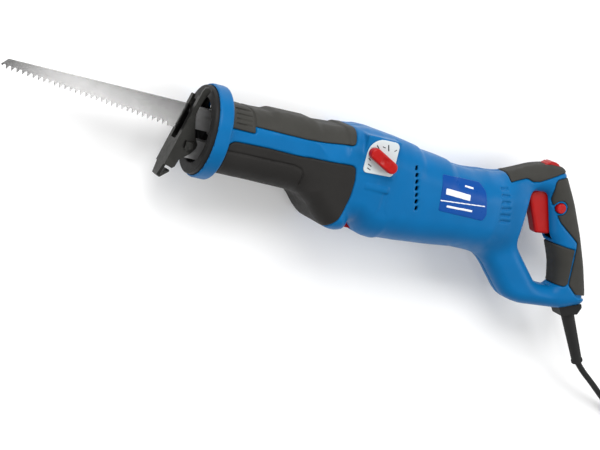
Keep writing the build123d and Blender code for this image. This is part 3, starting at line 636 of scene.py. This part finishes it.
def pad_grid(name):
    """Sample points around a pad, kept to the casing's length and height."""
    xs = [row[0] for row in PADS[name]]
    ys = [row[1] for row in PADS[name]]
    front = 10 if name.startswith("nose") else 290
    low = (max(min(xs), front) - 2, max(min(ys), -70) - 2, -46.4)
    high = (min(max(xs), 450) + 2, min(max(ys), 50) + 2, 46.4)
    return Grid(low, high, PAD_STEP)


def paint_shade_inside(obj, form, grid):
    """Give the faces deep inside the wall black nylon as painted shade, for the dark seen through mouth and
    slots.
    """
    mesh = obj.data
    mesh.materials.append(FINISH["black_plastic"])
    centres = np.zeros(len(mesh.polygons) * 3)
    mesh.polygons.foreach_get("center", centres)
    places = (centres.reshape(-1, 3) - np.array(ZERO)) / MM
    cells = np.round((places - grid.low) / grid.step).astype(int)
    cells = np.clip(cells, 0, np.array(form.shape) - 1)
    # painted shade: the blue casing's inner faces take black nylon where shade falls in the mouth and slots
    shade_mask = form[tuple(cells.T)] < -SHADE_DEPTH
    mesh.polygons.foreach_set("material_index", shade_mask.astype(np.int32))


def casing_pieces():
    """Both casing halves and the soft pads in their pockets."""
    grid = Grid((-6, -104, -47.15), (452, 56, 47.15), CASING_STEP)
    shell, form = casing(grid)
    for side, name, node in ((-1, "casing_left", "housing_left"), (1, "casing_right", "housing_right")):
        half = np.maximum(shell, SEAM + side * grid.z)
        obj = formed(name, half, grid, "blue_housing", "housing", node)
        paint_shade_inside(obj, form, grid)
    for name, (node, slot) in PAD_NODES.items():
        samples = pad_grid(name)
        formed(name, pad_values(name, samples), samples, slot, "housing", node)


casing_pieces()

# ---------------------------------------------------------------- outside fittings
KNOB_TURN = math.radians(-25.5)
KNOB_REACH, KNOB_HALF_WIDTH = 10.6, 5.6
PLATE = [(148.4, 1.2, 4), (179.8, 2.6, 4), (178.4, 35, 5), (148, 34.4, 16)]
PLATE_Z = (43.4, 45.0)
MARK_Z = (44.8, 45.12)
# rows: one end, other end, width
DIAL_MARKS = [
    ((166.6, 31.2), (168.4, 25.6), 1.2), ((161.4, 28.4), (164.4, 27.8), 0.8),
    ((155.2, 28.4), (158.2, 25.6), 1.0), ((150.6, 15), (153, 13.2), 1.0), ((151.6, 9.6), (155.4, 8), 0.9),
    ((151.8, 6), (155.6, 4.6), 0.9), ((174.2, 26.6), (176.2, 28.4), 0.8),
]
LABEL = [(233.5, 16.3, 2), (278, 16.6, 5), (285, 10, 4), (291, -12, 3), (288.5, -18.5, 3), (237.5, -18, 2)]
# film and bars reach this far out of the casing's surface
LABEL_PROUD, BAR_PROUD = 0.4, 0.62
LABEL_BARS = [
    [(239.5, 4.6, 0.8), (268, 3.2, 0.8), (268.6, -2.6, 0.8), (240.5, -1.4, 0.8)],
    [(236.8, -7.4, 0), (286.4, -3.8, 0), (286.4, -5, 0), (236.8, -8.7, 0)],
    [(244.7, -11.2, 0.4), (274, -10.4, 0.4), (274, -12.6, 0.4), (244.7, -13.4, 0.4)],
    [(260.3, 11, 0.4), (270.5, 10.6, 0.4), (270.5, 8.8, 0.4), (260.3, 9.2, 0.4)],
]
TRIGGER = [
    (349, 13, 2), (351, 18.6, 3), (364, 24, 4), (373, 25, 2), (376, 18, 3), (377, 6, 20), (386, -14, 6),
    (383, -19.5, 3), (368, -21.5, 3),
]
TRIGGER_HALF = 7.5
SHOE_HALF = 6.2
SHOE_PIVOT = (-12.0, -15.0)
SHOE_TILT = math.radians(13.7)
# drawn on the upright shoe, from its pivot
TOE = [
    (-11.2, -36.9, 1), (-7.6, -38.2, 1.5), (-1.2, -29.2, 1), (-2.8, -27.4, 1), (-8.6, -35, 2),
    (-11.2, -34.4, 0.5),
]


def knob_piece():
    """Selector knob: a long grip with rounded ends and a scooped middle."""
    grid = Grid((142, -2, 44.2), (186, 34, 55.2), KNOB_STEP)
    way = (math.cos(KNOB_TURN) * KNOB_REACH, math.sin(KNOB_TURN) * KNOB_REACH)
    ends = [
        (DIAL[0] - way[0] - 1, DIAL[1] - way[1] + 0.6),
        (DIAL[0] + way[0] - 1, DIAL[1] + way[1] + 0.6),
    ]
    grip = rounded_prism(line_distance(grid, ends) - KNOB_HALF_WIDTH, grid.z - 49.4, 4.4, 2.0)
    scoop = np.sqrt((grid.x - DIAL[0]) ** 2 + (grid.y - DIAL[1]) ** 2 + (grid.z - 62) ** 2) - 9.4
    formed("selector_knob", blend_max(grip, -scoop, 1.0), grid, "red_plastic", "orbital_dial", "orbital_dial")


def label_pieces():
    """Printed film that follows the casing, with plain bars in place of its print."""
    grid = Grid((231, -22, 28), (294, 19, 44), LABEL_STEP)
    form = np.abs(outer_form(grid))
    region = flat_distance(grid, LABEL)
    film = np.maximum(region, form - LABEL_PROUD)
    formed("label_film_skin", film, grid, "label_film", "housing", "label_plate")
    bars = 1e9
    for rows in LABEL_BARS:
        bars = np.minimum(bars, flat_distance(grid, rows))
    vertices, quads = surface_of(np.maximum(bars, form - BAR_PROUD), grid.low, grid.step)
    piece("label_bars", vertices, quads, "label_film", "housing", material=PRINT_WHITE)


def dial_plate_pieces():
    """Scale plate under the knob, with a figure and ticks."""
    outline = rounded_outline(PLATE)
    extruded("dial_scale_plate", outline, *PLATE_Z, "white_plastic", "housing", "dial_plate", width=0.5)
    for i, (start, end, width) in enumerate(DIAL_MARKS):
        a, b = np.array(start), np.array(end)
        way = (b - a) / np.linalg.norm(b - a)
        side = np.array([-way[1], way[0]]) * width / 2
        outline = [a - side, b - side, b + side, a + side]
        extruded(
            f"dial_mark_{i}", outline, *MARK_Z, "white_plastic", "housing", width=0.05, material=PRINT_DARK,
        )


def trigger_piece():
    grid = Grid((345, -25, -9.2), (390, 29, 9.2), TRIGGER_STEP)
    body = rounded_prism(flat_distance(grid, TRIGGER), grid.z, TRIGGER_HALF, 3.0)
    formed("trigger_skin", body, grid, "red_plastic", "trigger", "trigger")


def tilted(x, y):
    """A point of the upright shoe, turned to where it rests."""
    c, s = math.cos(SHOE_TILT), math.sin(SHOE_TILT)
    return SHOE_PIVOT[0] + x * c + y * s, SHOE_PIVOT[1] - x * s + y * c


def shoe_toe_piece():
    """The shoe's lower end, folded back."""
    line = [tilted(x, y) for x, y in rounded_outline(TOE)]
    extruded("shoe_toe", line, -SHOE_HALF, SHOE_HALF, "blackened_steel", "shoe", width=0.6)


knob_piece()
label_pieces()
dial_plate_pieces()
trigger_piece()
shoe_toe_piece()

# ---------------------------------------------------------------- blade
BLADE_HALF = 0.65
TOOTH_LINE = ((-194.0, 12.4), (-30.0, -3.4))
TOOTH_PITCH = 5.08
# from a tooth's tip up its steep side, round the gullet and down towards the next tip
TOOTH = [(0, 0), (-0.5, 1.4), (-0.7, 2.9), (-1.3, 3.9), (-2.3, 4.1), (-3.2, 3.5), (-4.1, 2.0)]


def blade_line():
    """Tapered blade: pointed tip, straight back, tang, and teeth with round gullets."""
    line = [(-194.2, 15.6), (-188.6, 21.2), (-16, 21)]
    line += [(-13, 16.2), (14, 16.2), (14, 3.8), (-13, 3.8), (-15.5, 0.5), (-18, -2.4), (-24, -2.8)]
    (x0, y0), (x1, y1) = TOOTH_LINE
    slope = (y1 - y0) / (x1 - x0)
    for i in range(int((x1 - x0) / TOOTH_PITCH), 0, -1):
        tip = x0 + i * TOOTH_PITCH
        level = y0 + slope * (tip - x0)
        line += [(tip + x, level + y) for x, y in TOOTH]
    return line


extruded(
    "saw_blade", blade_line(), -BLADE_HALF, BLADE_HALF, "blade_steel", "plunger", "blade",
    width=0.12, segments=1,
)

# ---------------------------------------------------------------- cord
CORD_D = 6.2
FLOOR_LINE = -HALF_WIDTH + CORD_D / 2 + 0.1
CORD_ROUTE = [
    (468.7, -142.2, -9), (479, -151, -11.2), (499, -162.5, -18), (524, -178, -29), (551, -193.5, FLOOR_LINE),
    (577, -208, FLOOR_LINE),
]
COIL_CENTRE = (598.0, -174.0)
TAIL_ROUTE = [(640, -150, -38.5), (634, -128, -35), (627, -110, -34.8)]
COIL_POINTS = 16
# rows: turns from the coil's start, radius, layer
COIL_TURNS = [
    (0, 40.6, 0), (0.8, 40.6, 0), (1.1, 34.4, 0), (1.8, 34.4, 0), (2.1, 28.3, 0), (2.85, 28.3, 0),
    (3.15, 28.3, 1), (3.8, 28.3, 1), (4.1, 34.4, 1), (4.8, 34.4, 1), (5.1, 40.6, 1), (5.9, 40.6, 1),
    (6.1, 38, 2), (6.4, 28.3, 2), (6.85, 28.3, 2), (7.15, 34.4, 2), (7.85, 34.4, 2), (8.12, 40.6, 2),
    (8.2, 41.5, 1.9), (8.36, 46.2, 0.55),
]


def coil_points():
    """Turns of the coil, wound inwards, outwards and inwards again in three layers."""
    start = math.atan2(CORD_ROUTE[-1][1] - COIL_CENTRE[1], CORD_ROUTE[-1][0] - COIL_CENTRE[0])
    places = [row[0] for row in COIL_TURNS]
    points = []
    for i in range(1, int(COIL_TURNS[-1][0] * COIL_POINTS) + 1):
        turn = i / COIL_POINTS
        radius = np.interp(turn, places, [row[1] for row in COIL_TURNS])
        layer = np.interp(turn, places, [row[2] for row in COIL_TURNS])
        angle = start + 2 * math.pi * turn
        x = COIL_CENTRE[0] + radius * math.cos(angle)
        y = COIL_CENTRE[1] + radius * math.sin(angle)
        points.append((x, y, FLOOR_LINE + layer * CORD_D))
    return points


def cord_curve(name, points):
    """A round cord along a smooth curve that is pulled towards the points."""
    curve = bpy.data.curves.new(name, "CURVE")
    curve.dimensions = "3D"
    curve.bevel_depth = CORD_D / 2 * MM
    curve.bevel_resolution = 6
    curve.resolution_u = 6
    curve.use_fill_caps = True
    spline = curve.splines.new("NURBS")
    spline.points.add(len(points) - 1)
    for item, point in zip(spline.points, to_frame(points)):
        item.co = (*point, 1)
    spline.order_u = 3
    spline.use_endpoint_u = True
    obj = bpy.data.objects.new(name, curve)
    bpy.context.scene.collection.objects.link(obj)
    obj.data.materials.append(FINISH["cord_rubber"])
    return obj


mains_cord = cord_curve("mains_cord", CORD_ROUTE + coil_points() + TAIL_ROUTE)
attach(mains_cord, "housing")
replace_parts(mains_cord, "cord_tube", "cord_coil", "cord_tail")
nodes = frame["nodes"]

# ---------------------------------------------------------------- finish of the CAD nodes
replaced = {name for obj in bpy.data.objects for name in obj.get("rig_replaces", [])}
for entry in frame["record"]["subparts"]:
    if entry["node"] not in replaced:
        obj = nodes[entry["node"]]
        obj.data.materials.clear()
        obj.data.materials.append(FINISH[entry["material_slot"]])
# edge widths of the softened nodes
EDGES = {
    "shoe": 0.7, "shoe_pivot_bolt": 0.5, "shoe_carrier": 0.5, "collar_liner": 1.2,
    "clamp_sleeve": 0.4, "plunger": 0.5, "shoe_lock_button": 0.8, "lock_on_button": 1.2,
    "handle_end_cap": 1.4, "strain_relief": 0.7, "speed_wheel": 0.3, "plug_body": 1.6,
    "cord_tie": 0.4, "housing_screws": 0.3, "gear_case": 0.6,
}
for name, width in EDGES.items():
    softened(nodes[name], width)

# ---------------------------------------------------------------- camera, light and floor
YAW, ELEVATION, ROLL = 24.5, 7.0, 15.74
DISTANCE = 1800.0
TARGET = (122.4, -65.7, 0.0)
LENS = 114.6


def camera_axes():
    """Right, up and backward directions of the camera, turned from looking along -Z with Y up."""
    yaw, rise, roll = (math.radians(a) for a in (YAW, ELEVATION, ROLL))
    back = Vector((-math.sin(yaw) * math.cos(rise), math.sin(rise), math.cos(yaw) * math.cos(rise)))
    level = Vector((0, 1, 0)).cross(back).normalized()
    upright = back.cross(level)
    right = level * math.cos(roll) + upright * math.sin(roll)
    return right, back.cross(right), back


right, up, back = camera_axes()
camera_data = bpy.data.cameras.new("camera")
camera_data.lens = LENS
camera_data.clip_end = 20
camera = bpy.data.objects.new("camera", camera_data)
bpy.context.scene.collection.objects.link(camera)
eye = Vector(to_frame(Vector(TARGET) + back * DISTANCE))
camera.matrix_world = Matrix.Translation(eye) @ Matrix((right, up, back)).transposed().to_4x4()
bpy.context.scene.camera = camera


def area_light(name, place, aim, size, power):
    """A rectangular light in the shared frame, in metres, facing a point."""
    data = bpy.data.lights.new(name, "AREA")
    data.shape = "RECTANGLE"
    data.size, data.size_y = size
    data.energy = power
    light = bpy.data.objects.new(name, data)
    bpy.context.scene.collection.objects.link(light)
    light.location = place
    light.rotation_euler = (Vector(aim) - Vector(place)).to_track_quat("-Z", "Y").to_euler()


area_light("key", (-0.5, 1.5, 1.5), (0, 0, 0.04), (1.5, 1.1), 38)
area_light("blade_glint", (0.13, -0.09, 1.12), (-0.23, 0.03, 0.04), (0.06, 0.25), 0.6)
area_light("fill", (-1.2, -0.7, 1.3), (0, 0, 0.04), (1.2, 1.2), 9)
area_light("rim", (1.5, 0.4, 1.2), (0.1, 0, 0.04), (0.9, 0.9), 12)

world = bpy.data.worlds.new("studio")
world.use_nodes = True
world.node_tree.nodes["Background"].inputs["Color"].default_value = (1, 1, 1, 1)
world.node_tree.nodes["Background"].inputs["Strength"].default_value = 0.5
bpy.context.scene.world = world
bpy.context.scene.view_settings.view_transform = "Standard"

FLOOR_HALF = 4.0
FLOOR_Z = -0.0002
floor_mesh = bpy.data.meshes.new("floor")
floor_signs = ((-1, -1), (1, -1), (1, 1), (-1, 1))
floor_corners = [(x * FLOOR_HALF, y * FLOOR_HALF, FLOOR_Z) for x, y in floor_signs]
floor_mesh.from_pydata(floor_corners, [], [(0, 1, 2, 3)])
floor = bpy.data.objects.new("floor", floor_mesh)
bpy.context.scene.collection.objects.link(floor)
floor.data.materials.append(new_material("floor_white", (0.97, 0.97, 0.97), 0.9)[0])

bpy.context.view_layer.update()
